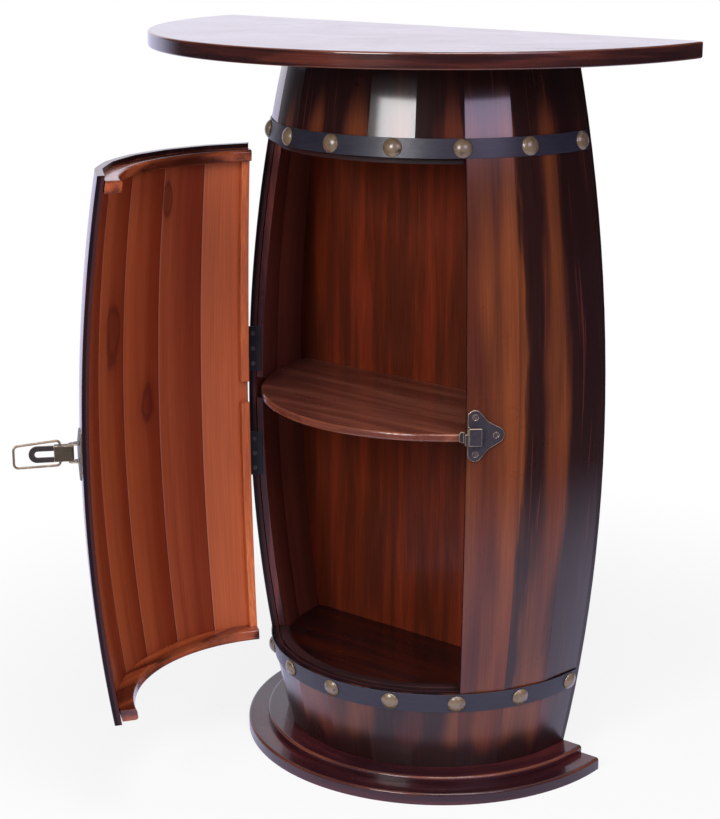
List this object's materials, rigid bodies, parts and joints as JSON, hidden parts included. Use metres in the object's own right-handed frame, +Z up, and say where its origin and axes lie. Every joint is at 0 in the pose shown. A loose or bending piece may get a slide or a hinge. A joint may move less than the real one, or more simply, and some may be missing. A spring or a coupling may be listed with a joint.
{
  "type": "barrel bar cabinet",
  "caption": "Half-round wooden barrel bar cabinet with a flat back, a round-fronted table top, hoops, a hinged stave door with a draw latch, and a shelf inside.",
  "frame": {"origin": "on the barrel's vertical axis at floor level, on the front face of the flat back panel", "axes": "+Z up, -Y the front, +X to the right as seen from the front"},
  "size_m": [0.618, 0.4929, 0.79],
  "materials": {
    "stained_board": "gloss lacquer over dark stain",
    "stave_wood": "gloss lacquer over dark stain",
    "inner_wood": "satin lacquer over red-brown stain",
    "hoop_iron": "satin blue-black",
    "nail_brass": "antique, darkened",
    "bronze": "antique bronze with worn edges",
    "steel": "plain"
  },
  "bodies": {
    "cabinet": {"back_panel": "inner_wood", "base_board": "inner_wood", "carcass_screws": "steel", "floor_board": "inner_wood", "frame_jamb_lower": "inner_wood", "frame_jamb_upper": "inner_wood", "head_board": "inner_wood", "head_rail": "inner_wood", "hinge_frame_screws": "bronze", "hinge_pins": "bronze", "hoop_nails": "nail_brass", "keeper_plate": "bronze", "keeper_screws": "bronze", "left_stave_1": "stave_wood", "left_stave_2": "stave_wood", "left_stave_3": "stave_wood", "lower_hinge_frame_leaf": "bronze", "lower_hoop": "hoop_iron", "lower_stave_1": "stave_wood", "lower_stave_2": "stave_wood", "lower_stave_3": "stave_wood", "lower_stave_4": "stave_wood", "lower_stave_5": "stave_wood", "lower_stave_6": "stave_wood", "plinth_lower_step": "stained_board", "plinth_upper_step": "stained_board", "right_stave_1": "stave_wood", "right_stave_2": "stave_wood", "right_stave_3": "stave_wood", "shelf": "inner_wood", "shelf_cleats": "inner_wood", "sill_rail": "inner_wood", "table_top": "stained_board", "upper_hinge_frame_leaf": "bronze", "upper_hoop": "hoop_iron", "upper_stave_1": "stave_wood", "upper_stave_2": "stave_wood", "upper_stave_3": "stave_wood", "upper_stave_4": "stave_wood", "upper_stave_5": "stave_wood", "upper_stave_6": "stave_wood"},
    "door": {"door_stave_1": "stave_wood", "door_stave_2": "stave_wood", "door_stave_3": "stave_wood", "door_stave_4": "stave_wood", "door_stave_5": "stave_wood", "door_stave_6": "stave_wood", "door_top_rail": "inner_wood", "door_bottom_rail": "inner_wood", "door_stile_lower": "inner_wood", "door_stile_upper": "inner_wood", "lower_hinge_door_leaf": "bronze", "upper_hinge_door_leaf": "bronze", "hinge_door_screws": "bronze", "latch_plate": "bronze", "latch_screws": "bronze", "latch_pin": "bronze"},
    "latch_lever": {"latch_lever": "bronze", "latch_tongue": "bronze"},
    "latch_bail": {"latch_bail": "bronze"}
  },
  "joints": [
    {"name": "door_hinge", "type": "hinge", "parent": "cabinet", "child": "door", "pos_m": [-0.16036, -0.13989, 0.384], "axis": [0, 0, -1], "range_deg": [-76.4, 90]},
    {"name": "latch_lever_pivot", "type": "hinge", "parent": "door", "child": "latch_lever", "pos_m": [-0.11748, -0.43816, 0.403], "axis": [0, 0, -1], "range_deg": [-25, 81]},
    {"name": "latch_bail_pivot", "type": "hinge", "parent": "latch_lever", "child": "latch_bail", "pos_m": [-0.12625, -0.44509, 0.403], "axis": [0, 0, -1], "range_deg": [-170, 53]}
  ],
  "couplings": [
    {"joint": "latch_bail_pivot", "follows": "latch_lever_pivot", "ratio": -2.096}
  ]
}
